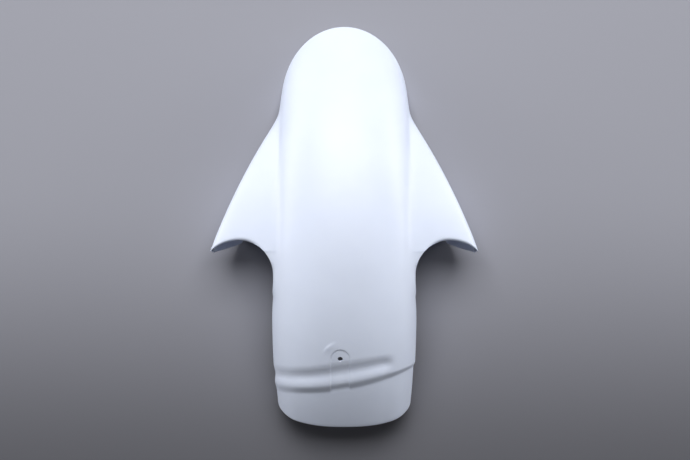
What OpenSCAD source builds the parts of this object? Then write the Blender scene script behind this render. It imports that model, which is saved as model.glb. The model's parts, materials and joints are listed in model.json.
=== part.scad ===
/* [Pieces] */
// the one piece of this part
// which node to draw; "all" draws every node

/* [Crown line] */
// radius of the crown line round the wheel axis
crown_r = 327.5; // [315:0.5:340]
// height of the crown's highest point above the plane the part rests on
crown_h = 101; // [94:0.5:108]
// angle from the crown's highest point back to the tail cut, degrees
tail_angle = 32.9; // [32.2:0.1:33.6]
// wall thickness of the moulded shell
wall = 3; // [2.4:0.1:3.6]

/* [Body section] */
// half width of the body at its widest place
body_half = 73.1; // [70:0.1:76]
// how much narrower each side is at the nose tip
nose_in = 10.6; // [8:0.1:13]
// how much narrower each side is at the tail
tail_in = 2.3; // [2:0.05:4.5]
// depth from the crown to where the sides stand upright
body_depth = 50.5; // [48:0.1:53]
// roundness power of the section at the nose, 2 is an ellipse
nose_power = 2; // [1.9:0.05:2.2]
// roundness power of the section at the tail
tail_power = 2.45; // [2:0.05:2.6]
// depth of the plain side skirt under the upright place
skirt_depth = 4; // [3:0.1:6]

/* [Wings] */
// half width over the two wing tips
wing_half = 135.2; // [130:0.1:140]
// widening of the wing at its tip, mm for each degree round the wheel
wing_flare = 1.838; // [1.7:0.002:1.95]
// growth of that widening towards the nose
wing_bend = 0.01436; // [0.012:0.0002:0.016]
// softness of the hollow corner where wing and nose meet
wing_blend = 3; // [2:0.1:6]
// section angle at which the wing leaves the body's side near the fork
wing_start = 60; // [56:0.5:64]
// section angle at which it leaves the side near the nose
wing_start_nose = 72; // [68:0.5:76]
// how far the foot of the wing leans in towards the wheel
ear_lean = 22; // [16:0.5:26]
// how far the foot's rear edge lies ahead of the wing tip
ear_sweep = 8.5; // [4:0.5:12]

/* [Fork arch] */
// distance of the fork leg's axis from the middle of the wheel
arch_x = 104.3; // [102:0.1:107]
// radius of the arch round the fork leg
arch_r = 33.7; // [31:0.1:35]
// wider radius of its outer quarter, across the part
arch_rx = 40.7; // [38:0.1:43]
// distance of the fork leg's axis behind the crown's highest point
arch_back = 20.8; // [18:0.1:24]
// radius of the rolled rim round the arch
rim_r = 4; // [3.7:0.1:5]

/* [Fork mounts] */
// depth of the mounting skirt's lower edge below the crown line
tab_depth = 80.5; // [76:0.5:84]
// diameter of the bolt holes
mount_d = 7; // [6:0.1:8]
// diameter of the flat spot face round each bolt hole
spot_d = 18; // [14:0.5:20]
// how deep the spot faces are cut into the skirt beside the fork leg
spot_depth = 0.2; // [0.1:0.05:0.5]
// thickness of the wall at the bolt holes
mount_wall = 4; // [3.5:0.1:5]
// distance of the front holes behind the fork leg's axis
mount_back = 14.2; // [12:0.2:18]
// depth of the front holes below the crown's highest point
mount_drop = 65; // [62:0.5:67]
// distance of the rear holes behind the front holes
mount_gap = 30; // [26:0.5:32]
// how much lower the rear holes are
mount_fall = 6; // [4:0.5:8]

/* [Hose channel] */
// distance of the step's lowest line ahead of the tail's side corners
step_gap = 8.1; // [7:0.1:12]
// width of the channel, groove and step together, at its left end
channel_w = 29; // [26:0.5:32]
// how much further ahead the groove's front line lies at its right end
groove_skew = 14; // [10:0.5:16]
// place across the part where the step lies furthest back, minus is left
step_x = -47; // [-52:1:-42]
// how far the step's line bends forward 100 mm beside that place
step_bow = 18.8; // [16:0.2:20]
// place across the part where the groove has run out on the right
groove_end = 50; // [46:0.5:52]
// depth of the groove the hose lies in
groove_depth = 2.1; // [1.5:0.1:3]
// height of the step down behind the groove
step_depth = 3.2; // [2:0.1:3.6]

/* [Hose clamp place] */
// sideways place of the clamp hole, minus is to the left seen from above, nose up
clamp_x = -4; // [-8:0.1:0]
// distance of the clamp hole ahead of the groove's front line
clamp_gap = 3.4; // [3:0.1:6]
// diameter of the clamp hole
clamp_d = 5; // [4:0.1:6.5]
// width of the sunk pad round it
pad_w = 19; // [16:0.5:22]
// depth of the sunk pad
pad_depth = 0.7; // [0.4:0.1:1.2]

/* [Hidden] */
axis_h = crown_r - crown_h;
side_r = crown_r - body_depth;
tab_r = crown_r - tab_depth;
spot_x = arch_x - arch_r - spot_depth;
// columns over the body's top, over the wing or side, and down its foot
NB = 10;
NW = 8;
NE = 5;
J = NB + NW + NE;
JH = NB + NW;
A_NOSE = 9;
A_WING = 10;
rim_s = [1, 0.55, 0.22, 0];
NA = A_NOSE + A_WING + len(rim_s) - 1;
B_NECK = 9;
B_REAR = 6;
ch_s = [-0.08, 0, 0.1, 0.22, 0.33, 0.42, 0.5, 0.58, 0.66, 0.745, 0.83, 0.915, 1, 1.07];
B_TAIL = 2;
NBR = B_NECK + B_REAR + len(ch_s) - 1 + B_TAIL;
// section angle of the corner where the arch meets the body
slit_phi = 68.6;
wing_th = 31;
neck_th = -11.5;
tip_th = 0.5;
// from the crown's highest point forward to the middle of the part
lead = (crown_r * sin(acos(axis_h / crown_r)) - (crown_r - step_depth) * sin(tail_angle)) / 2;

function ss(u) = let (c = min(1, max(0, u))) c * c * (3 - 2 * c);
function mix(a, b, u) = a + (b - a) * u;
function smin(a, b, k) = let (h = max(k - abs(a - b), 0) / k) min(a, b) - h * h * k / 4;
function phi(j) = j <= NB ? slit_phi * pow(j / NB, 0.85)
    : min(90, slit_phi + (90 - slit_phi) * (j - NB) / NW);
function low(j) = max(0, (j - JH) / NE);

// half width of the body alone at angle th round the wheel
function half_w(th) = body_half - (th > -10 ? nose_in * pow((th + 10) / 56, 2)
    : tail_in * pow((-10 - th) / 22.5, 2.5));
function power(th) = mix(tail_power, nose_power, ss((th + tail_angle) / (46 + tail_angle)));
// sideways growth of the wing beyond the body's side
function flare(th) = let (u = th - tip_th,
    g = wing_half - wing_flare * u - wing_bend * u * abs(u) - half_w(th))
    (g + sqrt(g * g + wing_blend * wing_blend)) / 2;
function wing_on(th) = ss((th + 9) / 9);
function start_phi(th) = mix(wing_start, wing_start_nose, ss((th - 5) / 25));
// radius of the free lower edge, ahead of and behind the arch
function edge_a(th) = mix(side_r - skirt_depth, axis_h / cos(th), ss((29 - th) / 24));
function edge_b(th) = mix(tab_r, side_r - skirt_depth, ss((-th - 15.5) / 7.5));
// inner side of the arch in plan
function arch_in(y) = y > -arch_back
    ? arch_x - sqrt(max(0, arch_r * arch_r - pow(min(y + arch_back, arch_r), 2)))
    : arch_x - arch_r + 6 * ss((-y - arch_back - 3) / 50);
// front line of the arch in plan, from the body round to the wing tip
function arch_front(x) = let (u = (x - arch_x) / (x > arch_x ? arch_rx : arch_r))
    -arch_back + arch_r * sqrt(max(0, 1 - u * u));
tip_y = arch_front(wing_half - 1);

// [x, r] of the section at angle th; behind is true behind the arch
function section(th, j, behind) = let (
    p = 2 / power(th), f = phi(j), t = low(j),
    x0 = half_w(th) * pow(sin(f), p)
        + flare(th) * wing_on(th) * ss((f - start_phi(th)) / (90 - start_phi(th))),
    r0 = crown_r - body_depth * (1 - pow(max(0, cos(f)), p)),
    y0 = r0 * sin(th),
    x1 = behind || j <= NB ? smin(x0, arch_in(y0), mix(1, 5, ss((2 - y0) / 15))) : x0,
    e = behind ? edge_b(th) : edge_a(th),
    lean = behind ? 0 : ear_lean * ss((29 - th) / 26) * pow(t, 1.6))
    [x1 - lean, mix(r0, e, t)];

function place(th, x, r) = [x, r * sin(th), r * cos(th) - axis_h];

// angle of the nose edge, where the section meets the resting plane
function nose_th(j, th = 40, n = 7) = n == 0 ? th
    : nose_th(j, acos(axis_h / section(th, j, false)[1]), n - 1);
// angle of the arch's edge for the columns outside the body
function arch_th(j, th = 2, n = 8) = n == 0 ? th
    : let (s = section(th, j, false), t = low(j))
        arch_th(j, asin((t > 0 ? tip_y + ear_sweep * pow(t, 2.2)
            : arch_front(min(s[0], wing_half - 1))) / s[1]), n - 1);
arch_tab = [for (j = [NB:J]) [j, arch_th(j)]];
slit_th = arch_tab[0][1];
// angle of the front edge of the mounting skirt
tab_top = section(slit_th, NB, true)[1];
function tab_th(j) = let (
    q = min(1, max(0, (tab_top - section(-4, j, true)[1]) / (tab_top - tab_r))))
    slit_th - 6.2 * pow(q, 0.62) - 1.6 * ss((q - 0.75) / 0.25);

// roll of the arch's rim: drop of the surface at angle th, column j
function rim_on(j) = ss((phi(j) - slit_phi) / 6) * (1 - ss((j - JH + 1) / 2.5));
function rim_drop(th, j) = j <= NB ? 0 : let (
    s = min(1, max(0, 1 - (th - lookup(j, arch_tab)) * PI / 180 * crown_r / rim_r)))
    rim_on(j) * rim_r * (1 - sqrt(1 - s * s));

// channel lines in plan: where the groove starts and where the step ends
step_y = side_r * sin(tail_angle) - step_gap;
function ch_start(x) = channel_w - step_y + groove_skew * ss((x + 60) / 120);
function ch_end(x) = step_bow * pow((x - step_x) / 100, 2) - step_y;
// inward shift of the surface at s along the channel's width
function step(s) = ss((s - 0.66) / 0.34);
function groove(s) = s > 0.66 ? 0.42 * (1 - step(s)) : lookup(s, [[-0.06, 0], [0, 0.08],
    [0.1, 0.36], [0.22, 0.78], [0.33, 1], [0.42, 0.91], [0.5, 0.7], [0.58, 0.5], [0.66, 0.42]]);
function channel(x, y) = let (a = ch_start(x), s = (y - a) / (ch_end(x) - a),
    side = ss((abs(x) - 62) / 10))
    groove_depth * groove(s) * ss((groove_end - x) / 12) * mix(1, 0.6, side)
    + step_depth * step(s) * mix(1, 0.5, side);

// the outer surface ahead of and behind the arch, c is the signed column
function face_a(th, c) = let (s = section(th, abs(c), false))
    place(th, sign(c) * s[0], s[1] - rim_drop(th, abs(c)));
function face_b(th, c) = let (s = section(th, abs(c), true), x = sign(c) * s[0],
    d = channel(x, s[1] * sin(th)), u = ss((s[0] / half_w(th) - 0.55) / 0.45))
    place(th, x - sign(c) * d * u, s[1] - d * (1 - u));

// angle of row i, column c, ahead of and behind the arch
rim_deg = rim_r / crown_r * 180 / PI;
function th_a(i, c) = let (j = abs(c), a = lookup(max(j, NB), arch_tab), k = i - A_NOSE)
    i <= A_NOSE ? mix(nose_th(j), wing_th, pow(i / A_NOSE, 0.9))
    : k <= A_WING ? mix(wing_th, mix(slit_th, a, pow(k / A_WING, 2)) + rim_deg, k / A_WING)
    : a + rim_s[k - A_WING] * rim_deg;
function th_ch(s, c) = let (m = section(-24, abs(c), true), x = sign(c) * m[0])
    asin(mix(ch_start(x), ch_end(x), s) / m[1]);
function th_b(i, c) = let (j = abs(c), k = i - B_NECK, m = k - B_REAR, n = m - len(ch_s) + 1)
    i <= B_NECK ? mix(j > NB ? tab_th(j) : slit_th, neck_th, pow(i / B_NECK, 1.1))
    : m <= 0 ? mix(neck_th, th_ch(ch_s[0], c), k / B_REAR)
    : n <= 0 ? th_ch(ch_s[m], c)
    : mix(th_ch(ch_s[len(ch_s) - 1], c), -tail_angle, n / B_TAIL);

// one grid point and its mate on the inner side of the wall; flat slides the mate along
// the surface onto the resting plane, so the nose edge lies flat
function unit(v) = v / norm(v);
function pair(th, c, b, flat = false) = let (
    h = c >= 0 ? 0.1 : -0.1,
    p = b ? face_b(th, c) : face_a(th, c),
    v = b ? face_b(th + 0.15, c) - face_b(th - 0.15, c)
        : face_a(th + 0.15, c) - face_a(th, c),
    u = b ? face_b(th, c + h) - face_b(th, c - h) : face_a(th, c + h) - face_a(th, c - h),
    q = p - wall * unit(cross(u, v) * sign(h)))
    [p, flat ? q - v * (q[2] / v[2]) : q];
grid_a = [for (i = [0:NA]) [for (c = [-J:J]) let (b = i == NA && abs(c) <= NB)
    pair(b ? th_b(0, c) : th_a(i, c), c, b, i == 0)]];
grid_b = [for (i = [0:NBR]) [for (c = [-J:J]) pair(th_b(i, c), c, true)]];
grid = concat(grid_a, grid_b);

W = 2 * J + 1;
rows = len(grid);
pts = [for (s = [0, 1], row = grid, p = row) p[s]];
// index of a grid point; k counts rows, s is 0 outside and 1 inside
function ix(k, n, s) = s * rows * W + (k == NA + 1 && abs(n - J) <= NB ? NA : k) * W + n;
function quad(a, b, c, d) = [[a, b, c], [a, c, d]];
row_list = [for (k = [0:rows - 2]) if (k != NA) k];
skin = [for (k = row_list, n = [0:2 * J - 1]) let (
    o = [ix(k, n, 0), ix(k, n + 1, 0), ix(k + 1, n + 1, 0), ix(k + 1, n, 0)],
    i = [ix(k, n, 1), ix(k + 1, n, 1), ix(k + 1, n + 1, 1), ix(k, n + 1, 1)])
    each n < J ? concat(quad(o[0], o[1], o[2], o[3]), quad(i[0], i[1], i[2], i[3]))
        : concat(quad(o[1], o[2], o[3], o[0]), quad(i[3], i[0], i[1], i[2]))];
sides = [for (k = row_list) each concat(
    quad(ix(k, 0, 0), ix(k + 1, 0, 0), ix(k + 1, 0, 1), ix(k, 0, 1)),
    quad(ix(k + 1, 2 * J, 0), ix(k, 2 * J, 0), ix(k, 2 * J, 1), ix(k + 1, 2 * J, 1)))];
function rim_quad(k, n, flip) = flip
    ? quad(ix(k, n, 0), ix(k, n + 1, 0), ix(k, n + 1, 1), ix(k, n, 1))
    : quad(ix(k, n + 1, 0), ix(k, n, 0), ix(k, n, 1), ix(k, n + 1, 1));
ends = [for (n = [0:2 * J - 1]) each concat(rim_quad(0, n, false), rim_quad(rows - 1, n, true))];
arch = [for (n = [0:2 * J - 1]) if (n < J - NB || n >= J + NB)
    each concat(rim_quad(NA, n, true), rim_quad(NA + 1, n, false))];

// thin slab that follows the outer face over the clamp pad, d outside and inside the face
PAD_I = [B_NECK + 1, B_NECK + B_REAR + len(ch_s) - 1];
PAD_C = [-3, 2];
function slab_at(i, c, d) = let (g = grid_b[i][c + J]) g[0] + (g[0] - g[1]) * d / wall;
SR = PAD_I[1] - PAD_I[0] + 1;
SC = PAD_C[1] - PAD_C[0] + 1;
slab_pts = [for (d = [1.5, -pad_depth], i = [PAD_I[0]:PAD_I[1]], c = [PAD_C[0]:PAD_C[1]])
    slab_at(i, c, d)];
function sx(i, c, s) = s * SR * SC + i * SC + c;
slab_faces = concat(
    [for (i = [0:SR - 2], c = [0:SC - 2]) each concat(
        quad(sx(i, c, 0), sx(i, c + 1, 0), sx(i + 1, c + 1, 0), sx(i + 1, c, 0)),
        quad(sx(i, c, 1), sx(i + 1, c, 1), sx(i + 1, c + 1, 1), sx(i, c + 1, 1)))],
    [for (i = [0:SR - 2]) each concat(
        quad(sx(i, 0, 0), sx(i + 1, 0, 0), sx(i + 1, 0, 1), sx(i, 0, 1)),
        quad(sx(i + 1, SC - 1, 0), sx(i, SC - 1, 0), sx(i, SC - 1, 1), sx(i + 1, SC - 1, 1)))],
    [for (c = [0:SC - 2]) each concat(
        quad(sx(0, c + 1, 0), sx(0, c, 0), sx(0, c, 1), sx(0, c + 1, 1)),
        quad(sx(SR - 1, c, 0), sx(SR - 1, c + 1, 0), sx(SR - 1, c + 1, 1), sx(SR - 1, c, 1)))]);
// outline of the pad seen from above: round at the hole, running out in the step
clamp_y = -ch_start(clamp_x) - clamp_gap;
clamp_th = -asin(clamp_y / crown_r);
pad_stop = 2;
pad_line = concat(
    [for (a = [0:10:180]) [clamp_x + pad_w / 2 * cos(a), -clamp_y + pad_w / 2 * sin(a)]],
    [for (x = [clamp_x - pad_w / 2, clamp_x + pad_w / 2]) [x, ch_end(x) + pad_stop]]);

module shell() {
    polyhedron(points = pts, faces = concat(skin, sides, ends, arch), convexity = 8);
}

// the sunk pad: the slab, trimmed to the pad's outline seen from above
module clamp_pad() {
    intersection() {
        polyhedron(points = slab_pts, faces = slab_faces, convexity = 4);
        translate([0, 0, crown_h / 2]) linear_extrude(crown_h) polygon(pad_line);
    }
}

// a round bar along X at a bolt hole of side s, from x = a to x = b
module bolt_bar(s, front, d, a, b) {
    translate([s * a, -arch_back - mount_back - (front ? 0 : mount_gap),
        crown_h - mount_drop - (front ? 0 : mount_fall)])
    rotate([0, s * 90, 0])
    cylinder(d = d, h = b - a, $fn = 48);
}

module fender_shell() {
    color([0.93, 0.94, 0.95])
    translate([0, -lead, 0])
    difference() {
        union() {
            shell();
            for (s = [-1, 1], front = [true, false])
                bolt_bar(s, front, spot_d + 6, spot_x - mount_wall, spot_x - 0.2);
        }
        clamp_pad();
        translate([clamp_x, 0, -axis_h]) rotate([-clamp_th, 0, 0])
            translate([0, 0, crown_r - wall - 6]) cylinder(d = clamp_d, h = wall + 12, $fn = 48);
        for (s = [-1, 1], front = [true, false]) {
            bolt_bar(s, front, spot_d, spot_x, spot_x + 8);
            bolt_bar(s, front, mount_d, spot_x - mount_wall - 5, spot_x + 9);
        }
    }
}

fender_shell();
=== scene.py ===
import json
import math

import bpy
import numpy as np
from bpy.props import FloatProperty, FloatVectorProperty, IntProperty, PointerProperty
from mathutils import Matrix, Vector


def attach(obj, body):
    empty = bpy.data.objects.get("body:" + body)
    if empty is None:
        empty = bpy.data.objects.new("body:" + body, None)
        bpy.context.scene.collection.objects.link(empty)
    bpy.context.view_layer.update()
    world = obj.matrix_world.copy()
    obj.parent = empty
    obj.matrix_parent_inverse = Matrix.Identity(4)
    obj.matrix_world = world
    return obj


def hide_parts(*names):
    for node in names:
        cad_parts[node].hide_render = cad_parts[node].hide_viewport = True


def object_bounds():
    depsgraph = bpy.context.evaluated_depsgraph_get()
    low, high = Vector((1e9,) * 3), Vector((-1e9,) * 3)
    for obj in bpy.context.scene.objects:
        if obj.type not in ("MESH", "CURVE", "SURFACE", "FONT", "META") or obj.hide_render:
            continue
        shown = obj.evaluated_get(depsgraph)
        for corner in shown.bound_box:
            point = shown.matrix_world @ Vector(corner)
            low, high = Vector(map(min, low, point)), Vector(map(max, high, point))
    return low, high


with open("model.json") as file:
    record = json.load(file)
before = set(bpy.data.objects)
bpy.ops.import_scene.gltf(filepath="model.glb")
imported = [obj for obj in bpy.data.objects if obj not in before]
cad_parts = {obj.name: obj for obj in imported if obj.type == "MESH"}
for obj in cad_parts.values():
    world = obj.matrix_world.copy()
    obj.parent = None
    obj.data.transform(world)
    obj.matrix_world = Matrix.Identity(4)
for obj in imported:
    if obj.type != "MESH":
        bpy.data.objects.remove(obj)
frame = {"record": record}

bl_info = {
    "name": "Motorcycle Front Fender",
    "version": (1, 0, 0),
    "blender": (4, 5, 0),
    "location": "View3D > Sidebar > Fender",
    "description": "Builds a one-piece moulded front fender shell and a plain studio round it",
    "category": "Object",
}

CAD_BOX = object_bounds()
NODE = "fender_shell"
MOUNTS = {m["name"]: m for m in frame["record"]["mounts"]}
MM = 0.001

# camera: picture width and focal length in pixels, sensor width in millimetres, and the
# height of the lens above the resting plane and its place across, in metres
PICTURE_WIDTH, FOCAL_LENGTH, SENSOR = 690, 1240, 36.0
LENS_HEIGHT, LENS_XY = 1.300, (0.0007, -0.0068)


# Small helpers for shaping curves

def ease(u):
    """Smooth step from 0 to 1."""
    c = np.clip(u, 0.0, 1.0)
    return c * c * (3 - 2 * c)


def ramp(x, start, stop):
    """Smooth step from 0 at start to 1 at stop."""
    return ease((x - start) / (stop - start))


def mix(a, b, u):
    return a + (b - a) * u


def soft_min(a, b, k):
    """The smaller of two values, with a fillet of size k where they cross."""
    h = np.maximum(k - np.abs(a - b), 0) / k
    return np.minimum(a, b) - h * h * k / 4


def through(knots, values, x):
    """A smooth curve through the knots, with no overshoot at flat stretches."""
    knots = np.asarray(knots, float)
    values = np.asarray(values, float)
    slope = np.gradient(values, knots)
    slope[0] = slope[-1] = 0.0
    x = np.clip(x, knots[0], knots[-1])
    i = np.clip(np.searchsorted(knots, x) - 1, 0, len(knots) - 2)
    w = knots[i + 1] - knots[i]
    t = (x - knots[i]) / w
    return ((2 * t**3 - 3 * t**2 + 1) * values[i] + (t**3 - 2 * t**2 + t) * w * slope[i]
            + (3 * t**2 - 2 * t**3) * values[i + 1] + (t**3 - t**2) * w * slope[i + 1])


def unit(v):
    return v / np.maximum(np.linalg.norm(v, axis=-1, keepdims=True), 1e-12)


def sind(a):
    return np.sin(np.radians(a))


def cosd(a):
    return np.cos(np.radians(a))


def linear(code):
    """An sRGB hex colour as linear red, green, blue."""
    out = []
    for k in (0, 2, 4):
        c = int(code[k:k + 2], 16) / 255
        out.append(c / 12.92 if c <= 0.04045 else ((c + 0.055) / 1.055) ** 2.4)
    return tuple(out)


# Sizes and colours a user would change

class FenderSizes(bpy.types.PropertyGroup):
    """Sizes of the fender shell."""
    crown_radius: FloatProperty(
        name="Crown Radius", description="Radius of the crown line round the wheel axis",
        default=0.3275, unit="LENGTH")
    tail_angle: FloatProperty(
        name="Tail Angle", description="Angle from the crown's highest point back to the tail cut",
        default=math.radians(32.9), subtype="ANGLE")
    wall: FloatProperty(
        name="Wall", description="Thickness of the moulded wall", default=0.003, unit="LENGTH")
    body_half: FloatProperty(
        name="Body Half Width", description="Half width of the body at its widest place",
        default=0.0731, unit="LENGTH")
    nose_in: FloatProperty(
        name="Nose Narrowing", description="How much narrower each side is at the nose tip",
        default=0.0106, unit="LENGTH")
    tail_in: FloatProperty(
        name="Tail Narrowing", description="How much narrower each side is at the tail",
        default=0.0023, unit="LENGTH")
    body_depth: FloatProperty(
        name="Body Depth", description="Depth from the crown to where the sides stand upright",
        default=0.0505, unit="LENGTH")
    skirt_depth: FloatProperty(
        name="Skirt Depth", description="Depth of the plain side skirt under the upright place",
        default=0.004, unit="LENGTH")
    wing_half: FloatProperty(
        name="Wing Half Width", description="Half width over the two wing tips",
        default=0.1352, unit="LENGTH")
    ear_lean: FloatProperty(
        name="Ear Lean", description="How far the foot of the wing leans in towards the wheel",
        default=0.022, unit="LENGTH")
    arch_x: FloatProperty(
        name="Arch Distance", description="Distance of the fork leg's axis from the middle",
        default=0.1043, unit="LENGTH")
    arch_radius: FloatProperty(
        name="Arch Radius", description="Radius of the arch round the fork leg",
        default=0.0337, unit="LENGTH")
    rim_radius: FloatProperty(
        name="Rim Radius", description="Radius of the rolled rim round the arch",
        default=0.004, unit="LENGTH")
    edge_round: FloatProperty(
        name="Edge Rounding", description="Rounding of the free edges", default=0.0008,
        unit="LENGTH")
    groove_depth: FloatProperty(
        name="Groove Depth", description="Depth of the groove the hose lies in", default=0.0021,
        unit="LENGTH")
    step_depth: FloatProperty(
        name="Step Depth", description="Height of the step down behind the groove",
        default=0.0032, unit="LENGTH")
    pad_width: FloatProperty(
        name="Pad Width", description="Width of the sunk pad round the clamp hole",
        default=0.019, unit="LENGTH")
    pad_depth: FloatProperty(
        name="Pad Depth", description="Depth of the sunk pad", default=0.0007, unit="LENGTH")
    spot_diameter: FloatProperty(
        name="Spot Face", description="Diameter of the flat spot face round each fork bolt hole",
        default=0.018, unit="LENGTH")
    boss_diameter: FloatProperty(
        name="Boss", description="Diameter of the boss that backs each fork bolt hole",
        default=0.024, unit="LENGTH")
    hole_edge: FloatProperty(
        name="Hole Edge", description="Width of the small bevel round each hole",
        default=0.0001, unit="LENGTH")
    rows: IntProperty(
        name="Rows", description="Mesh rows along the fender, for each 100 mm", default=42)


class FenderColours(bpy.types.PropertyGroup):
    """Colours of the plastic and of the studio."""
    plastic: FloatVectorProperty(
        name="Plastic", description="Colour of the bare moulded plastic", subtype="COLOR",
        default=linear("D8E0F2"), min=0.0, max=1.0)
    floor: FloatVectorProperty(
        name="Floor", description="Colour of the studio floor", subtype="COLOR",
        default=linear("9A9BA5"), min=0.0, max=1.0)


# Shape of the shell, in millimetres and degrees

class Shell:
    """The fender's surface: turn is the angle round the wheel, forward from the highest point
    of the crown, and column runs from the crown (0) to the free side edge."""

    # columns where the body's top, the wing and the foot end
    TOP, ROOF, EDGE = 10.0, 18.0, 23.0
    # section angle of the corner where the arch meets the body, and how the columns crowd
    CORNER_PHI, COLUMN_POWER = 68.6, 0.85
    # turns where the wing starts and the neck behind the arches ends, and of the wing's tip
    WING_TURN, NECK_TURN, TIP_TURN = 31.0, -11.5, 0.5
    # the body narrows from its widest turn over these spans, towards the tail with this power
    WIDEST_TURN, NOSE_SPAN, TAIL_SPAN, TAIL_BEND = -10.0, 56.0, 22.5, 2.5
    # power of the section's oval at the nose and at the tail, and the turn of the first
    NOSE_POWER, TAIL_POWER, NOSE_POWER_TURN = 2.0, 2.45, 46.0
    # widening of the wing at its tip, for each degree, its growth and its softness
    FLARE, FLARE_BEND, FLARE_SOFT = 1.838, 0.01436, 3.0
    # section angle where the wing leaves the body, and the turns over which it changes
    START_PHI, START_TURNS = (60.0, 72.0), (5.0, 30.0)
    # turns over which the wing fades out behind its tip
    WING_FADE = (-9.0, 0.0)
    # turns over which the wing's edge comes down to the resting plane and leans in
    FOOT_TURNS, LEAN_TURNS, LEAN_POWER = (29.0, 5.0), (29.0, 3.0), 1.6
    # depth of the mounting skirt's lower edge below the crown line, and the turns of its rise
    SKIRT_DROP, SKIRT_RISE = 80.5, (-15.5, -23.0)
    # front edge of the mounting skirt: its sweep in degrees and the corner at its foot
    SKIRT_SWEEP, SKIRT_BEND, SKIRT_CORNER, SKIRT_CORNER_FROM = 6.2, 0.62, 1.6, 0.75
    # the turn at which the skirt's depth is measured
    SKIRT_TURN = -4.0
    # fork arch: radius on its outer side, and its centre's distance behind the wheel axis
    ARCH_OUTER, ARCH_BACK = 40.7, 20.8
    # behind the arch the side widens by so much, from so far behind its centre, over a length
    SIDE_WIDENS, SIDE_GAP, SIDE_RUN = 6.0, 3.0, 50.0
    # fillet between the body and the arch's inner side, and the places between which it grows
    FILLET, FILLET_RUN = (1.0, 5.0), (2.0, -13.0)
    # how far the ear's rear edge sweeps forward down to its foot, and its power
    EAR_SWEEP, EAR_BEND = 8.5, 2.2
    # the rolled rim fades in over degrees of section, and out over columns before the ear's foot
    RIM_IN, RIM_OUT_LEAD, RIM_OUT = 6.0, 1.0, 2.5
    # hose channel: its place ahead of the tail's corners, its width and its slant
    STEP_GAP, CHANNEL_WIDTH, GROOVE_SKEW, SKEW_RUN = 8.1, 29.0, 14.0, (-60.0, 60.0)
    # the step down to the tail: its hindmost place, and its bow 100 mm to the side of that
    STEP_X, STEP_BOW = -47.0, 18.8
    # places across between which the groove runs out, and between which the channel gets
    # shallower, with the shares of the groove and of the step that are left
    GROOVE_END, SIDE_FADE, GROOVE_LEFT, STEP_LEFT = (52.0, 40.0), (62.0, 72.0), 0.6, 0.5
    # profile of the groove across the channel, up to its crest
    GROOVE = ([-0.06, 0, 0.1, 0.22, 0.33, 0.42, 0.5, 0.58, 0.67],
              [0, 0.06, 0.32, 0.8, 1.07, 0.98, 0.7, 0.44, 0.32])
    # the body's side takes the channel's depth sideways from this share of the half width
    SIDE_START, SIDE_BLEND = 0.55, 0.45
    # clamp pad: width of its edge, where it ends past the step, and how it runs out there
    PAD_EDGE, PAD_PAST, PAD_RUN_OUT = 0.6, 2.0, (-4.0, 1.0)
    # soft collar outside the clamp pad: its radius, height, direction and half spread
    COLLAR = (16.8, 0.5, 131.0, 36.0)
    # the collar's gap to the pad, and the width of its outer slope
    COLLAR_GAP, COLLAR_SLOPE = 0.5, 2.6
    # the arch's line is followed to this far inside the wing tip
    TIP_GAP = 1
    # the wing tip is drawn in by so much, which keeps its rounded edge in the CAD's box
    TIP_TRIM, TIP_RUN = 0.4, (128.0, 136.0)
    # first guesses and rounds of the two edge solvers, in degrees
    NOSE_GUESS, NOSE_ROUNDS, ARCH_GUESS, ARCH_ROUNDS = 40.0, 9, 2.0, 12
    # the step in turn and column from which normals are taken
    NORMAL_STEP = 0.02

    def __init__(self, sizes):
        to_mm = {k: getattr(sizes, k) / MM for k in sizes.__annotations__
                 if k not in ("tail_angle", "rows")}
        self.__dict__.update(to_mm)
        self.tail = math.degrees(sizes.tail_angle)
        self.rows = sizes.rows
        self.axis_height = self.crown_radius - (CAD_BOX[1][2] - CAD_BOX[0][2]) / MM
        self.side_radius = self.crown_radius - self.body_depth
        nose = math.sqrt(self.crown_radius**2 - self.axis_height**2)
        self.lead = (nose - (self.crown_radius - self.step_depth) * sind(self.tail)) / 2
        clamp = MOUNTS["clamp_bore"]
        self.clamp_x = clamp["pos_m"][0] / MM
        self.clamp_y = -self.crown_radius * abs(clamp["axis"][1])
        self.wing_end = self.wing_half - self.TIP_GAP
        self.tip_y = self.arch_front(self.wing_end)
        self.skirt_edge = self.crown_radius - self.SKIRT_DROP
        self.step_y = self.side_radius * sind(self.tail) - self.STEP_GAP
        self.corner = float(self.arch_turn(np.array([self.TOP]))[0])
        self.skirt_top = self.section(self.corner, self.TOP, True)[1]

    # laws of the outline and the section

    def phi(self, col):
        top = self.CORNER_PHI * (np.minimum(col, self.TOP) / self.TOP) ** self.COLUMN_POWER
        wing = self.CORNER_PHI + (90 - self.CORNER_PHI) * (col - self.TOP) / (self.ROOF - self.TOP)
        return np.where(col <= self.TOP, top, np.minimum(90, wing))

    def foot(self, col):
        return np.maximum(0, (col - self.ROOF) / (self.EDGE - self.ROOF))

    def half_width(self, turn):
        ahead = np.maximum(turn - self.WIDEST_TURN, 0)
        behind = np.maximum(self.WIDEST_TURN - turn, 0)
        nose = self.nose_in * (ahead / self.NOSE_SPAN) ** 2
        tail = self.tail_in * (behind / self.TAIL_SPAN) ** self.TAIL_BEND
        return self.body_half - nose - tail

    def power(self, turn):
        return mix(self.TAIL_POWER, self.NOSE_POWER, ramp(turn, -self.tail, self.NOSE_POWER_TURN))

    def flare(self, turn):
        u = turn - self.TIP_TURN
        g = self.wing_half - self.FLARE * u - self.FLARE_BEND * u * np.abs(u) - self.half_width(turn)
        return (g + np.sqrt(g * g + self.FLARE_SOFT**2)) / 2

    def edge_ahead(self, turn):
        return mix(self.side_radius - self.skirt_depth, self.axis_height / cosd(turn),
                   ramp(turn, *self.FOOT_TURNS))

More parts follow.
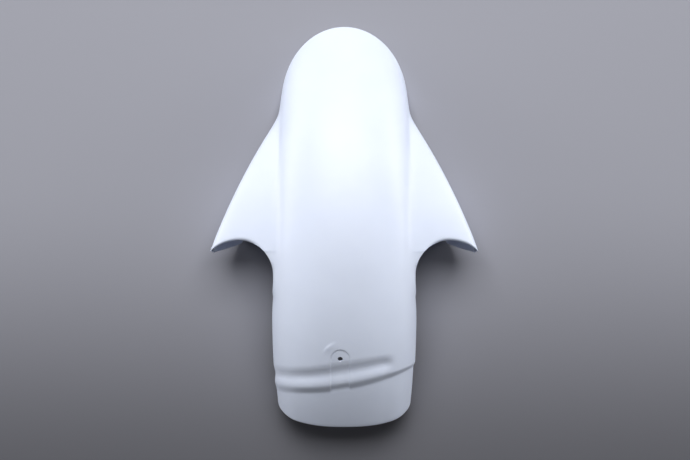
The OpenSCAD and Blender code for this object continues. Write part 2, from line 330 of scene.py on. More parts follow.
    def edge_behind(self, turn):
        return mix(self.skirt_edge, self.side_radius - self.skirt_depth,
                   ramp(turn, *self.SKIRT_RISE))

    def arch_inside(self, y):
        r = self.arch_radius
        reach = np.minimum(y + self.ARCH_BACK, r)
        front = self.arch_x - np.sqrt(np.maximum(0, r * r - reach**2))
        widening = ease((-y - self.ARCH_BACK - self.SIDE_GAP) / self.SIDE_RUN)
        rear = self.arch_x - r + self.SIDE_WIDENS * widening
        return np.where(y > -self.ARCH_BACK, front, rear)

    def arch_front(self, x):
        u = (x - self.arch_x) / np.where(x > self.arch_x, self.ARCH_OUTER, self.arch_radius)
        return -self.ARCH_BACK + self.arch_radius * np.sqrt(np.maximum(0, 1 - u * u))

    def section(self, turn, col, behind):
        """Distance from the middle and radius from the wheel axis."""
        p = 2 / self.power(turn)
        f = self.phi(col)
        t = self.foot(col)
        start = mix(*self.START_PHI, ramp(turn, *self.START_TURNS))
        wing = self.flare(turn) * ramp(turn, *self.WING_FADE) * ramp(f, start, 90)
        x = self.half_width(turn) * sind(f) ** p + wing
        r = self.crown_radius - self.body_depth * (1 - np.maximum(0, cosd(f)) ** p)
        y = r * sind(turn)
        inside = soft_min(x, self.arch_inside(y), mix(*self.FILLET, ramp(y, *self.FILLET_RUN)))
        if behind:
            return inside, mix(r, self.edge_behind(turn), t)
        x = np.where(col <= self.TOP, inside, x)
        lean = self.ear_lean * ramp(turn, *self.LEAN_TURNS) * t**self.LEAN_POWER
        return x - lean, mix(r, self.edge_ahead(turn), t)

    def place(self, turn, x, r):
        return np.stack([x, r * sind(turn), r * cosd(turn) - self.axis_height], axis=-1)

    # edges of the surface, as turns

    def nose_turn(self, col):
        turn = np.full(np.shape(col), self.NOSE_GUESS)
        for _ in range(self.NOSE_ROUNDS):
            turn = np.degrees(np.arccos(self.axis_height / self.section(turn, col, False)[1]))
        return turn

    def arch_turn(self, col):
        turn = np.full(np.shape(col), self.ARCH_GUESS)
        t = self.foot(col)
        for _ in range(self.ARCH_ROUNDS):
            x, r = self.section(turn, col, False)
            y = np.where(t > 0, self.tip_y + self.EAR_SWEEP * t**self.EAR_BEND,
                         self.arch_front(np.minimum(x, self.wing_end)))
            turn = np.degrees(np.arcsin(y / r))
        return turn

    def skirt_turn(self, col):
        drop = self.skirt_top - self.section(self.SKIRT_TURN, col, True)[1]
        q = np.clip(drop / (self.skirt_top - self.skirt_edge), 0, 1)
        return (self.corner - self.SKIRT_SWEEP * q**self.SKIRT_BEND
                - self.SKIRT_CORNER * ramp(q, self.SKIRT_CORNER_FROM, 1))

    # details laid over the section

    def rim_drop(self, turn, col):
        arc = np.radians(turn - self.arch_turn(np.maximum(col, self.TOP))) * self.crown_radius
        s = np.clip(1 - arc / self.rim_radius, 0, 1)
        fade_in = ease((self.phi(col) - self.CORNER_PHI) / self.RIM_IN)
        on = fade_in * (1 - ease((col - self.ROOF + self.RIM_OUT_LEAD) / self.RIM_OUT))
        return np.where(col <= self.TOP, 0, on * self.rim_radius * (1 - np.sqrt(1 - s * s)))

    def channel_lines(self, x):
        """Where the channel starts and where it ends at the step, at a place across."""
        skew = self.GROOVE_SKEW * ramp(x, *self.SKEW_RUN)
        end = self.STEP_BOW * ((x - self.STEP_X) / 100) ** 2 - self.step_y
        return self.CHANNEL_WIDTH - self.step_y + skew, end

    def channel(self, x, y):
        """How far the surface sinks in the hose channel and behind it."""
        start, end = self.channel_lines(x)
        s = (y - start) / (end - start)
        crest = self.GROOVE[0][-1]
        step = ramp(s, crest, 1)
        groove = np.where(s > crest, self.GROOVE[1][-1] * (1 - step), through(*self.GROOVE, s))
        side = ramp(np.abs(x), *self.SIDE_FADE)
        groove = self.groove_depth * groove * ramp(x, *self.GROOVE_END)
        return (groove * mix(1, self.GROOVE_LEFT, side)
                + self.step_depth * step * mix(1, self.STEP_LEFT, side))

    def pad(self, x, y):
        """How far the clamp pad lies below the surface round it."""
        dy = np.maximum(y - self.clamp_y, 0)
        out = np.hypot(x - self.clamp_x, dy) - self.pad_width / 2
        past = self.channel_lines(x)[1] + self.PAD_PAST - y
        run_out = 1 - ramp(past, *self.PAD_RUN_OUT)
        return self.pad_depth * (1 - ease(out / self.PAD_EDGE + 0.5)) * run_out

    def collar(self, x, y):
        """How far the soft collar beside the pad stands up."""
        radius, height, middle, spread = self.COLLAR
        dx, dy = x - self.clamp_x, y - self.clamp_y
        out = np.hypot(dx, dy) - radius
        inside = self.pad_width / 2 + self.COLLAR_GAP - radius
        rise = np.where(out < 0, ease(1 - out / inside), 1 - ease(out / self.COLLAR_SLOPE))
        off = np.abs(np.degrees(np.arctan2(dy, dx)) - middle)
        return height * rise * (1 - ease(off / spread))

    def ahead(self, turn, col):
        x, r = self.section(turn, np.abs(col), False)
        x = x - self.TIP_TRIM * ramp(x, *self.TIP_RUN)
        return self.place(turn, np.sign(col) * x, r - self.rim_drop(turn, np.abs(col)))

    def behind(self, turn, col):
        x0, r = self.section(turn, np.abs(col), True)
        x = np.sign(col) * x0
        sink = self.channel(x, r * sind(turn))
        u = ease((x0 / self.half_width(turn) - self.SIDE_START) / self.SIDE_BLEND)
        return self.place(turn, x - np.sign(col) * sink * u, r - sink * (1 - u))

    def normal(self, face, turn, col):
        """Outward normal, from small steps along and across."""
        d, h = self.NORMAL_STEP, self.NORMAL_STEP * np.where(col >= 0, 1, -1)
        back = d if face == self.behind else 0
        along = face(turn + d, col) - face(turn - back, col)
        across = face(turn, col + h) - face(turn, col - h)
        return unit(np.cross(across, along) * np.sign(h)[..., None])


def spaced(start, stop, step):
    """Even steps from start up to stop, without stop."""
    n = max(1, round(abs(stop - start) / step))
    return start + (stop - start) * np.arange(n) / n


# width of the grid's columns, in millimetres: over the body, and at the clamp pad and collar
WIDE_COLUMN, FINE_COLUMN = 2.0, 0.55
# how far the fine columns reach past the pad, and how much further on the collar's side
FINE_MARGIN, COLLAR_MARGIN = 2.0, 5
# columns of the wing and of its foot, and points of the table that places the body's columns
WING_COLUMNS, FOOT_COLUMNS, LOOKUP_POINTS = 18, 10, 4001


def column_list(shell):
    """Signed columns from the left edge to the right: fine at the clamp pad."""
    pad = shell.pad_width / 2 + FINE_MARGIN
    fine = (shell.clamp_x - pad - COLLAR_MARGIN, shell.clamp_x + pad)
    turn = math.degrees(math.asin(shell.clamp_y / shell.crown_radius))
    cols = np.linspace(0, shell.TOP, LOOKUP_POINTS)
    x_of = shell.section(turn, cols, True)[0]
    limit = x_of[-1]
    xs = np.concatenate([spaced(-limit, fine[0], WIDE_COLUMN), spaced(*fine, FINE_COLUMN),
                         spaced(fine[1], limit, WIDE_COLUMN), [limit]])
    top = np.sign(xs) * np.interp(np.abs(xs), x_of, cols)
    top[0], top[-1] = -shell.TOP, shell.TOP
    wing = np.linspace(shell.TOP, shell.ROOF, WING_COLUMNS + 1)[1:]
    foot = shell.ROOF + (shell.EDGE - shell.ROOF) * np.linspace(0, 1, FOOT_COLUMNS + 1)[1:]
    side = np.concatenate([wing, foot])
    return np.concatenate([-side[::-1], top, side])


class Skin:
    """The grid of points over the whole shell, split behind the wings by the fork arches."""

    # lengths of the grid's parts along the crown, in millimetres, which set their row counts
    NOSE, WING, NECK, TAIL = 86, 150, 70, 30
    # how the rows crowd towards the wing's start, the arch and the neck's end
    NOSE_CROWD, WING_CROWD, NECK_CROWD = 0.9, 2, 1.1
    # rows of the rolled rim, as degrees round its section
    ROLL = (0, 12, 24, 36, 48, 60, 73, 90)
    # from the neck to the channel: the share with wide rows, and the two row steps
    REAR_SHARE, REAR_WIDE, REAR_FINE = 0.42, 0.075, 0.0175
    # across the channel: first and last place, as shares of its width, and the row step
    ACROSS = (-0.08, 1.07, 0.0165)
    # the turn at which the channel's rows are laid out
    CHANNEL_TURN = -24.0
    # the last column stays this far from the foot's edge, which is never taken lower than this
    EDGE_GAP, LEAST_FOOT = 1.1, 2.0
    # rounds in which columns and turns are fitted to each other
    ROUNDS = 3
    # step in turn that gives the wall's direction at the nose
    SLIDE_STEP = 0.05

    def __init__(self, shell):
        self.shell = shell
        self.cols = column_list(shell)
        self.row = 100 / shell.rows
        self.build_ahead()
        self.build_behind()

    def spread_foot(self, cols, turn, behind):
        """Moves the foot's columns so that the last one keeps its distance from the edge."""
        s = self.shell
        a = np.abs(cols)
        edge = s.edge_behind(turn) if behind else s.edge_ahead(turn)
        height = np.maximum(np.abs(s.section(turn, s.ROOF, behind)[1] - edge), self.LEAST_FOOT)
        t = (a - s.ROOF) / (s.EDGE - s.ROOF)
        moved = t * FOOT_COLUMNS / (FOOT_COLUMNS - 1) * (1 - self.EDGE_GAP / height)
        # the last column itself stays on the edge
        t = np.where((t > 0) & (t < 0.999), moved, t)
        return np.where(a > s.ROOF, np.sign(cols) * (s.ROOF + (s.EDGE - s.ROOF) * t), cols)

    def fit(self, turns, behind):
        """Turns and columns of a face's grid, fitted to each other in a few rounds."""
        turn = turns(self.cols[None, :])
        for _ in range(self.ROUNDS):
            cols = self.spread_foot(np.tile(self.cols, (len(turn), 1)), turn, behind)
            turn = np.concatenate([turns(cols[k:k + 1])[k:k + 1] for k in range(len(turn))])
        return turn, cols

    def build_ahead(self):
        s = self.shell
        nose_rows = int(self.NOSE / self.row)
        wing_rows = int(self.WING / self.row)
        full = np.degrees(s.rim_radius / s.crown_radius)
        rim = (1 - np.sin(np.radians(np.array(self.ROLL)))) * full

        def turns(cols):
            a = np.abs(cols)
            arch = s.arch_turn(np.maximum(a, s.TOP))
            u = np.arange(nose_rows)[:, None] / nose_rows
            nose = mix(s.nose_turn(a), s.WING_TURN, u**self.NOSE_CROWD)
            k = np.arange(wing_rows)[:, None] / wing_rows
            wing = mix(s.WING_TURN, mix(s.corner, arch, k**self.WING_CROWD) + full, k)
            return np.concatenate([nose, wing, arch + rim[:, None]])

        turn, cols = self.fit(turns, False)
        self.ahead = self.sample(s.ahead, turn, cols)
        # the body's part of the last row belongs to the surface behind
        inner = np.abs(self.cols) <= s.TOP
        last = self.sample(s.behind, turn[-1:], cols[-1:])
        for field in ("point", "mate", "normal"):
            self.ahead[field][-1, inner] = last[field][0, inner]
        self.flatten_nose(turn[0], cols[0])

    def build_behind(self):
        s = self.shell
        neck_rows = int(self.NECK / self.row)
        tail_rows = int(self.TAIL / self.row)
        rear = np.concatenate([spaced(0, self.REAR_SHARE, self.REAR_WIDE),
                               spaced(self.REAR_SHARE, 1, self.REAR_FINE)])
        across = np.concatenate([spaced(*self.ACROSS), [self.ACROSS[1]]])

        def turns(cols):
            a = np.abs(cols)
            x, r = s.section(self.CHANNEL_TURN, a, True)
            start, end = s.channel_lines(np.sign(cols) * x)

            def on_channel(u):
                return np.degrees(np.arcsin(mix(start, end, u) / r))

            first = np.where(a > s.TOP, s.skirt_turn(a), s.corner)
            u = np.arange(neck_rows)[:, None] / neck_rows
            neck = mix(first, s.NECK_TURN, u**self.NECK_CROWD)
            run = mix(s.NECK_TURN, on_channel(across[0]), rear[:, None])
            chan = on_channel(across[:, None])
            v = np.arange(1, tail_rows + 1)[:, None] / tail_rows
            tail = mix(on_channel(across[-1]), -s.tail, v)
            return np.concatenate([neck, run, chan, tail])

        self.behind = self.sample(s.behind, *self.fit(turns, True))

    def sample(self, face, turn, cols):
        s = self.shell
        point = face(turn, cols)
        normal = s.normal(face, turn, cols)
        mate = point - s.wall * normal
        if face == s.behind:
            x, y = point[..., 0], point[..., 1]
            point = point + (s.collar(x, y) - s.pad(x, y))[..., None] * normal
        return {"point": point, "mate": mate, "normal": normal}

    def flatten_nose(self, turn, cols):
        """Slides the nose edge's inner points along the wall, onto the resting plane."""
        s = self.shell
        slide = unit(s.ahead(turn + self.SLIDE_STEP, cols) - s.ahead(turn, cols))
        mate = self.ahead["mate"][0]
        self.ahead["mate"][0] = mate - slide * (mate[:, 2] / slide[:, 2])[:, None]

    def mesh(self):
        """Vertices and faces of the closed shell with its edges rounded."""
        n = len(self.cols)
        inner = np.abs(self.cols) <= self.shell.TOP
        fields = ("point", "mate", "normal")
        flat = {f: np.concatenate([self.ahead[f].reshape(-1, 3), self.behind[f].reshape(-1, 3)])
                for f in fields}
        a = np.arange(len(self.ahead["point"]) * n).reshape(-1, n)
        b = np.arange(len(self.behind["point"]) * n).reshape(-1, n) + a.size
        b[0, inner] = a[-1, inner]
        quads = []
        for g in (a, b):
            quads.append(np.stack([g[:-1, :-1], g[:-1, 1:], g[1:, 1:], g[1:, :-1]], -1).reshape(-1, 4))
        quads = np.concatenate(quads)
        left = np.searchsorted(self.cols, -self.shell.TOP)
        right = n - 1 - left
        loop = np.concatenate([
            a[0, :], a[1:, -1], a[-1, right:-1][::-1], b[0, right + 1:], b[1:, -1],
            b[-1, :-1][::-1], b[:-1, 0][::-1], b[0, 1:left], a[-1, :left + 1][::-1],
            a[1:-1, 0][::-1]])
        return close_shell(flat, quads, loop, self.shell.edge_round)


# least squared length of a corner's mitre, which keeps sharp corners of the edge from growing
LEAST_MITRE = 0.75


def close_shell(flat, quads, loop, rounding):
    """Joins the outer and inner skins by a rounded edge along the loop."""
    outer, inner = flat["point"].copy(), flat["mate"].copy()
    p, q, nrm = outer[loop], inner[loop], flat["normal"][loop]
    forward = unit(np.roll(p, -1, axis=0) - p)
    backward = np.roll(forward, 1, axis=0)
    side_a, side_b = np.cross(nrm, forward), np.cross(nrm, backward)
    out = unit(side_a) + unit(side_b)
    out = out / np.maximum((out * out).sum(-1, keepdims=True) / 2, LEAST_MITRE)
    wide = unit(q - p)
    rings = []
    for corner, way in ((p, wide), (q, -wide)):
        start, stop = corner - rounding * out, corner + rounding * way
        arc = [mix(mix(start, corner, t), mix(corner, stop, t), t) for t in (1 / 3, 2 / 3, 1)]
        rings.append(arc)
    outer[loop] = p - rounding * out
    inner[loop] = q - rounding * out
    ring_points = rings[0] + rings[1][::-1]
    size = len(outer)
    points = [outer, inner] + ring_points
    ring_rows = [2 * size + k * len(loop) + np.arange(len(loop)) for k in range(len(ring_points))]
    stack = [loop, *ring_rows, size + loop]
    strips = []
    for first, second in zip(stack[:-1], stack[1:]):
        strips.append(np.stack([first, np.roll(first, -1), np.roll(second, -1), second], -1))
    faces = np.concatenate([quads[:, ::-1], quads + size] + strips)
    return np.concatenate(points), faces


def new_mesh(name, points, faces, loose):
    """A mesh of quads and, after them, loose points, in metres."""
    used, faces = np.unique(faces, return_inverse=True)
    points = np.concatenate([points[used], loose])
    faces = faces.reshape(-1, 4)
    mesh = bpy.data.meshes.new(name)
    mesh.vertices.add(len(points))
    mesh.vertices.foreach_set("co", points.astype(np.float32).ravel())
    mesh.loops.add(faces.size)
    mesh.loops.foreach_set("vertex_index", faces.astype(np.int32).ravel())
    mesh.polygons.add(len(faces))
    mesh.polygons.foreach_set("loop_start", np.arange(0, faces.size, 4, dtype=np.int32))
    mesh.update(calc_edges=True)
    mesh.validate()
    return mesh


def keep(name, mesh):
    item = bpy.data.objects.new(name, mesh)
    bpy.context.scene.collection.objects.link(item)
    return item


# Materials

def add(tree, kind, inputs=None, **settings):
    """Adds a node with its settings; each input is a value, a socket or a list of sockets."""
    node = tree.nodes.new(kind)
    for key, value in settings.items():
        setattr(node, key, value)
    for key, value in (inputs or {}).items():
        for source in value if isinstance(value, list) else [value]:
            if isinstance(source, bpy.types.NodeSocket):
                tree.links.new(source, node.inputs[key])
            else:
                node.inputs[key].default_value = source
    return node


def shade(colour, share):
    """The colour times a share, as a socket value, never over white."""
    return (*[min(1.0, c * share) for c in colour], 1)


# moulded plastic: patterns as grain size in millimetres and detail; the first is the clouds,
# the second the gloss patches. The mould's own grain, 0.1 mm or less, is too fine to show in
# the render and is drawn 0.8 mm coarse.
CLOUDS, GLOSS, GRAIN = (55, 3), (9, 2), (0.8, 3)
# tone of the clouds, and roughness over the gloss patches, from the lowest to the highest
CLOUD_TONE, PLASTIC_ROUGHNESS = (0.975, 1.02), (0.45, 0.52)
GRAIN_STRENGTH, GRAIN_HEIGHT = 0.22, 0.05 * MM
# the plastic's IOR, and how deep light enters it, what share does, and its reach by colour
PLASTIC_IOR, LIGHT_DEPTH, LIGHT_SHARE, LIGHT_TINT = 1.53, 3 * MM, 0.2, (1.0, 1.0, 1.1)
# the part of a noise pattern's range that is used
NOISE_LOW, NOISE_HIGH = 0.3, 0.7


def moulded_abs(colour):
    """Injection-moulded ABS, bare: a cool white, satin from a fine spark-eroded mould.

    It gives the eye a wide soft highlight that thins out over the grain, faint clouds of
    tone where the melt ran, and thin edges that let a little light through."""
    material = bpy.data.materials.new("moulded_abs_white")
    material.use_nodes = True
    tree = material.node_tree
    tree.nodes.clear()
    place = add(tree, "ShaderNodeTexCoord").outputs["Object"]
    clouds, gloss, grain = [
        add(tree, "ShaderNodeTexNoise", {"Vector": place, "Scale": 1 / (size * MM),
                                         "Detail": detail}).outputs["Fac"]
        for size, detail in (CLOUDS, GLOSS, GRAIN)]
    clouds, roughness = [
        add(tree, "ShaderNodeMapRange", {"Value": noise, "From Min": NOISE_LOW,
                                         "From Max": NOISE_HIGH, "To Min": low,
                                         "To Max": high}).outputs["Result"]
        for noise, low, high in ((clouds, 0, 1), (gloss, *PLASTIC_ROUGHNESS))]
    tone = add(tree, "ShaderNodeMix", {"Factor": clouds, "A": shade(colour, CLOUD_TONE[0]),
                                       "B": shade(colour, CLOUD_TONE[1])}, data_type="RGBA")
    bump = add(tree, "ShaderNodeBump", {"Height": grain, "Strength": GRAIN_STRENGTH,
                                        "Distance": GRAIN_HEIGHT})
    skin = add(tree, "ShaderNodeBsdfPrincipled", {
        "Base Color": tone.outputs["Result"], "Normal": bump.outputs["Normal"],
        "Roughness": roughness, "IOR": PLASTIC_IOR, "Subsurface Weight": LIGHT_SHARE,
        "Subsurface Radius": LIGHT_TINT, "Subsurface Scale": LIGHT_DEPTH})
    add(tree, "ShaderNodeOutputMaterial", {"Surface": skin.outputs["BSDF"]})
    return material


# floor: places along it, in metres, between which its colour darkens towards the back, and the share
# of the colour left at the back; this darkening is painted shade that stands in for the lamps' falloff
# and the shadow behind the part
FLOOR_SHADE_SPAN, FLOOR_REAR_SHADE, PAPER_ROUGHNESS = (-0.3, 0.05), 0.33, 0.9


def floor_paper(colour):
    """Matt paper backdrop, plain in colour, with painted shade that darkens it towards the back of the
    part.
    """
    material = bpy.data.materials.new("floor_paper")
    material.use_nodes = True
    tree = material.node_tree
    tree.nodes.clear()
    place = add(tree, "ShaderNodeSeparateXYZ",
                {"Vector": add(tree, "ShaderNodeTexCoord").outputs["Object"]})
    # painted shade: the floor's colour falls off towards the back, in place of the lamps' falloff and
    # the part's shadow
    painted_falloff = add(tree, "ShaderNodeMapRange",
               {"Value": place.outputs["Y"], "From Min": FLOOR_SHADE_SPAN[0], "From Max": FLOOR_SHADE_SPAN[1]},
               interpolation_type="SMOOTHSTEP")
    tone = add(tree, "ShaderNodeMix",
               {"Factor": painted_falloff.outputs["Result"], "A": shade(colour, FLOOR_REAR_SHADE),
                "B": shade(colour, 1)}, data_type="RGBA")
    paper = add(tree, "ShaderNodeBsdfPrincipled",
                {"Base Color": tone.outputs["Result"], "Roughness": PAPER_ROUGHNESS})
    add(tree, "ShaderNodeOutputMaterial", {"Surface": paper.outputs["BSDF"]})
    return material


# strength of the sky as a light, and as the camera sees it
SKY_LIGHT, SKY_SEEN = 0.012, 0.4


def studio_world():
    """A faint even light; the camera sees it as pale grey behind the floor."""
    world = bpy.data.worlds.new("studio")
    world.use_nodes = True
    tree = world.node_tree
    tree.nodes.clear()
    seen = add(tree, "ShaderNodeLightPath").outputs["Is Camera Ray"]
    strength = add(tree, "ShaderNodeMapRange",
                   {"Value": seen, "To Min": SKY_LIGHT, "To Max": SKY_SEEN})
    sky = add(tree, "ShaderNodeBackground",
              {"Color": (1, 1, 1, 1), "Strength": strength.outputs["Result"]})
    add(tree, "ShaderNodeOutputWorld", {"Surface": sky.outputs["Background"]})
    return world


# Geometry Nodes: the skin rolled round the wheel, and the holes that repeat

def roll_up(tree, skin, given):
    """Rolls the flat strip round the wheel axis: y is arc length, z is the radius."""
    place = add(tree, "ShaderNodeSeparateXYZ",
                {"Vector": add(tree, "GeometryNodeInputPosition").outputs["Position"]}).outputs
    turn = add(tree, "ShaderNodeMath", {0: place["Y"], 1: given["Crown Radius"]},
               operation="DIVIDE").outputs["Value"]
    rolled = {"X": place["X"]}
    for way, wave, shift in (("Y", "SINE", "Lead"), ("Z", "COSINE", "Axis Depth")):
        share = add(tree, "ShaderNodeMath", {0: turn}, operation=wave).outputs["Value"]
        reach = add(tree, "ShaderNodeMath", {0: place["Z"], 1: share}, operation="MULTIPLY")
        rolled[way] = add(tree, "ShaderNodeMath", {0: reach.outputs["Value"], 1: given[shift]},
                          operation="SUBTRACT").outputs["Value"]
    position = add(tree, "ShaderNodeCombineXYZ", rolled).outputs["Vector"]
    return add(tree, "GeometryNodeSetPosition",
               {"Geometry": skin, "Position": position}).outputs["Geometry"]


# kinds of mount point, and the corners of a round body
FORK_BOLT, CLAMP_SCREW = 1, 2
ROUND_CORNERS = 64


def rounds(tree, points, stored, kind, radii, reach):
    """A round body at each point of one kind: its radii at the bottom and top, and where
    these lie along the point's axis, in millimetres."""
    bottom, top = [value * MM for value in reach]
    body = add(tree, "GeometryNodeMeshCone",
               {"Vertices": ROUND_CORNERS, "Depth": top - bottom, "Radius Bottom": radii[0],
                "Radius Top": radii[1]})
    moved = add(tree, "GeometryNodeTransform",
                {"Geometry": body.outputs["Mesh"], "Translation": (0, 0, bottom)})
    aim = add(tree, "FunctionNodeAlignRotationToVector", {"Vector": stored["axis"]}, axis="Z")
    chosen = add(tree, "ShaderNodeMath", {0: stored["mount"], 1: kind}, operation="COMPARE")
    copies = add(tree, "GeometryNodeInstanceOnPoints",
                 {"Points": points, "Instance": moved.outputs["Geometry"],
                  "Rotation": aim.outputs["Rotation"], "Selection": chosen.outputs["Value"]})
    return add(tree, "GeometryNodeRealizeInstances",
               {"Geometry": copies.outputs["Instances"]}).outputs["Geometry"]


# where the round bodies lie along a mount's axis, outwards from its point, in millimetres
BOSS_REACH, SPOT_REACH = (-2.0, 1.8), (2.0, 10.0)
BOLT_REACH, SCREW_REACH = (-7.0, 9.0), (-6.0, 6.0)
BEVEL_DEPTH = 0.1
# names of the tree's sizes, and the values that are stored at the mount points
TREE_SIZES = ("Crown Radius", "Axis Depth", "Lead", "Bolt Hole", "Spot Face", "Boss",
              "Clamp Hole", "Hole Edge")
ATTRIBUTES = (("mount", "FLOAT"), ("axis", "FLOAT_VECTOR"))


def fender_tree():
    """Rolls the skin round the wheel, adds the bosses and cuts spot faces and holes."""
    tree = bpy.data.node_groups.new("fender_skin", "GeometryNodeTree")
    faces = tree.interface
    faces.new_socket("Geometry", in_out="OUTPUT", socket_type="NodeSocketGeometry")
    faces.new_socket("Geometry", in_out="INPUT", socket_type="NodeSocketGeometry")
    faces.new_socket("Material", in_out="INPUT", socket_type="NodeSocketMaterial")
    for name in TREE_SIZES:
        faces.new_socket(name, in_out="INPUT", socket_type="NodeSocketFloat")
    given = add(tree, "NodeGroupInput").outputs
    stored = {name: add(tree, "GeometryNodeInputNamedAttribute", {"Name": name},
                        data_type=kind).outputs["Attribute"] for name, kind in ATTRIBUTES}
    split = add(tree, "GeometryNodeSeparateGeometry",
                {"Geometry": given["Geometry"], "Selection": stored["mount"]}).outputs
    boss, spot, bolt, screw = [
        add(tree, "ShaderNodeMath", {0: given[name], 1: 0.5}, operation="MULTIPLY").outputs["Value"]
        for name in ("Boss", "Spot Face", "Bolt Hole", "Clamp Hole")]
    bolt_rim, screw_rim = [
        add(tree, "ShaderNodeMath", {0: radius, 1: given["Hole Edge"]},
            operation="ADD").outputs["Value"] for radius in (bolt, screw)]
    spot_floor = SPOT_REACH[0]
    pad_floor = MOUNTS["clamp_bore"]["dims"]["length_mm"] / 2
    backing, *cuts = [rounds(tree, split["Selection"], stored, *body) for body in (
        (FORK_BOLT, (boss, boss), BOSS_REACH),
        (FORK_BOLT, (spot, spot), SPOT_REACH),
        (FORK_BOLT, (bolt, bolt), BOLT_REACH),
        (FORK_BOLT, (bolt, bolt_rim), (spot_floor - BEVEL_DEPTH, spot_floor)),
        (CLAMP_SCREW, (screw, screw), SCREW_REACH),
        (CLAMP_SCREW, (screw, screw_rim), (pad_floor - BEVEL_DEPTH, pad_floor)))]
    whole = add(tree, "GeometryNodeMeshBoolean",
                {"Mesh 2": [roll_up(tree, split["Inverted"], given), backing]},
                operation="UNION", solver="MANIFOLD")
    cut = add(tree, "GeometryNodeMeshBoolean", {"Mesh 1": whole.outputs["Mesh"], "Mesh 2": cuts},
              operation="DIFFERENCE", solver="MANIFOLD")
    plain = add(tree, "GeometryNodeRealizeInstances", {"Geometry": cut.outputs["Mesh"]})
    coated = add(tree, "GeometryNodeSetMaterial",
                 {"Geometry": plain.outputs["Geometry"], "Material": given["Material"]})
    add(tree, "NodeGroupOutput", {"Geometry": coated.outputs["Geometry"]})
    return tree


def apply_tree(item, tree, values):
    """Runs the tree on the object and keeps its result as a plain mesh."""
    modifier = item.modifiers.new("nodes", "NODES")
    modifier.node_group = tree
    for socket in tree.interface.items_tree:
        if socket.in_out == "INPUT" and socket.name in values:
            modifier[socket.identifier] = values[socket.name]
    item.update_tag()
    graph = bpy.context.evaluated_depsgraph_get()
    mesh = bpy.data.meshes.new_from_object(item.evaluated_get(graph))
    item.modifiers.clear()
    item.data = mesh
    for name, _ in ATTRIBUTES:
        if name in mesh.attributes:
            mesh.attributes.remove(mesh.attributes[name])


# faces that meet at more degrees than this stay sharp
SHARP_ANGLE = 40
# the lamps: name, place, size, power in watts and spread in degrees; they aim at one place
SOFTBOXES = (("left_softbox", (-2.2, 0.8, 0.36), (2.1, 0.56), 4.6, 60),
             ("right_softbox", (2.2, 0.8, 0.36), (2.1, 0.56), 4.6, 60),
             ("front_softbox", (0, 1.58, 2.32), (2.6, 1.7), 95, 180))
LAMP_AIM = (0, 0, 0.05)
# the floor's half size, and how far it lies below the part, in metres
FLOOR_HALF, FLOOR_GAP = 6, 0.0005


class FENDER_OT_shell(bpy.types.Operator):
    """Build the moulded shell with its edges, channel and bolt holes"""
    bl_idname = "fender.shell"
    bl_label = "Fender Shell"

    def execute(self, context):
        sizes = context.scene.fender_sizes
        shell = Shell(sizes)
        points, faces = Skin(shell).mesh()
        # the skin goes in unrolled: along the wheel's turn, and out from its axis
        high = points[:, 2] + shell.axis_height
        turn = np.arctan2(points[:, 1], high)
        flat = np.stack([points[:, 0], turn * shell.crown_radius, np.hypot(points[:, 1], high)], -1)
        spots = np.array([m["pos_m"] for m in MOUNTS.values()])
        mesh = new_mesh("fender_skin", flat * MM, faces, spots)
        count = len(mesh.vertices) - len(spots)
        kinds = [CLAMP_SCREW if "clamp" in name else FORK_BOLT for name in MOUNTS]
        axes = np.concatenate([np.zeros(count * 3)] + [m["axis"] for m in MOUNTS.values()])
        mesh.attributes.new("mount", "FLOAT", "POINT").data.foreach_set(
            "value", np.array([0.0] * count + kinds, np.float32))
        mesh.attributes.new("axis", "FLOAT_VECTOR", "POINT").data.foreach_set(
            "vector", axes.astype(np.float32))
        piece = keep("fender_skin", mesh)
        apply_tree(piece, fender_tree(), {
            "Material": moulded_abs(context.scene.fender_colours.plastic),
            "Crown Radius": shell.crown_radius * MM, "Axis Depth": shell.axis_height * MM,
            "Lead": shell.lead * MM, "Spot Face": sizes.spot_diameter, "Boss": sizes.boss_diameter,
            "Bolt Hole": MOUNTS["left_front_bore"]["dims"]["r_mm"] * 2 * MM,
            "Clamp Hole": MOUNTS["clamp_bore"]["dims"]["r_mm"] * 2 * MM,
            "Hole Edge": sizes.hole_edge})
        piece.data.shade_smooth()
        piece.data.set_sharp_from_angle(angle=math.radians(SHARP_ANGLE))
        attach(piece, "root")
        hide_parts(NODE)
        return {"FINISHED"}


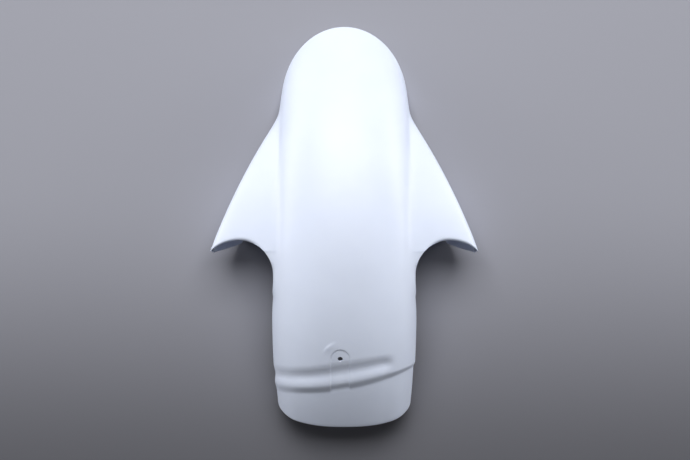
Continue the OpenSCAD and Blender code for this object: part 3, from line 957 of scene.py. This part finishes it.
def area_lamp(name, place, size, watts, spread):
    lamp = bpy.data.lights.new(name, "AREA")
    lamp.shape = "RECTANGLE"
    lamp.size, lamp.size_y = size
    lamp.energy = watts
    lamp.spread = math.radians(spread)
    item = keep(name, lamp)
    item.location = place
    aim = Vector(LAMP_AIM) - Vector(place)
    item.rotation_euler = aim.to_track_quat("-Z", "Y").to_euler()


class FENDER_OT_stage(bpy.types.Operator):
    """Build the floor, the lamps and the camera"""
    bl_idname = "fender.stage"
    bl_label = "Studio"

    def execute(self, context):
        scene = context.scene
        mesh = bpy.data.meshes.new("floor")
        h = FLOOR_HALF
        mesh.from_pydata([(-h, -h, 0), (h, -h, 0), (h, h, 0), (-h, h, 0)], [], [(0, 1, 2, 3)])
        floor = keep("floor", mesh)
        mesh.materials.append(floor_paper(scene.fender_colours.floor))
        floor.location.z = -FLOOR_GAP
        for softbox in SOFTBOXES:
            area_lamp(*softbox)
        scene.world = studio_world()
        lens = bpy.data.cameras.new("camera")
        lens.lens = FOCAL_LENGTH / PICTURE_WIDTH * SENSOR
        lens.sensor_width = SENSOR
        camera = keep("camera", lens)
        camera.location = (*LENS_XY, LENS_HEIGHT)
        scene.camera = camera
        scene.view_settings.view_transform = "Standard"
        return {"FINISHED"}


class FENDER_PT_panel(bpy.types.Panel):
    """Lists the pieces and the sizes they are built from"""
    bl_idname = "FENDER_PT_panel"
    bl_label = "Front Fender"
    bl_space_type = "VIEW_3D"
    bl_region_type = "UI"
    bl_category = "Fender"

    def draw(self, context):
        layout = self.layout
        for kind in OPERATORS:
            layout.operator(kind.bl_idname)
        for group in (context.scene.fender_sizes, context.scene.fender_colours):
            for key in group.__annotations__:
                layout.prop(group, key)


OPERATORS = (FENDER_OT_shell, FENDER_OT_stage)
CLASSES = (FenderSizes, FenderColours, *OPERATORS, FENDER_PT_panel)


def register():
    for kind in CLASSES:
        bpy.utils.register_class(kind)
    bpy.types.Scene.fender_sizes = PointerProperty(type=FenderSizes)
    bpy.types.Scene.fender_colours = PointerProperty(type=FenderColours)


def unregister():
    del bpy.types.Scene.fender_colours
    del bpy.types.Scene.fender_sizes
    for kind in reversed(CLASSES):
        bpy.utils.unregister_class(kind)


def main():
    register()
    bpy.ops.fender.shell()
    bpy.ops.fender.stage()


if __name__ == "__main__":
    main()
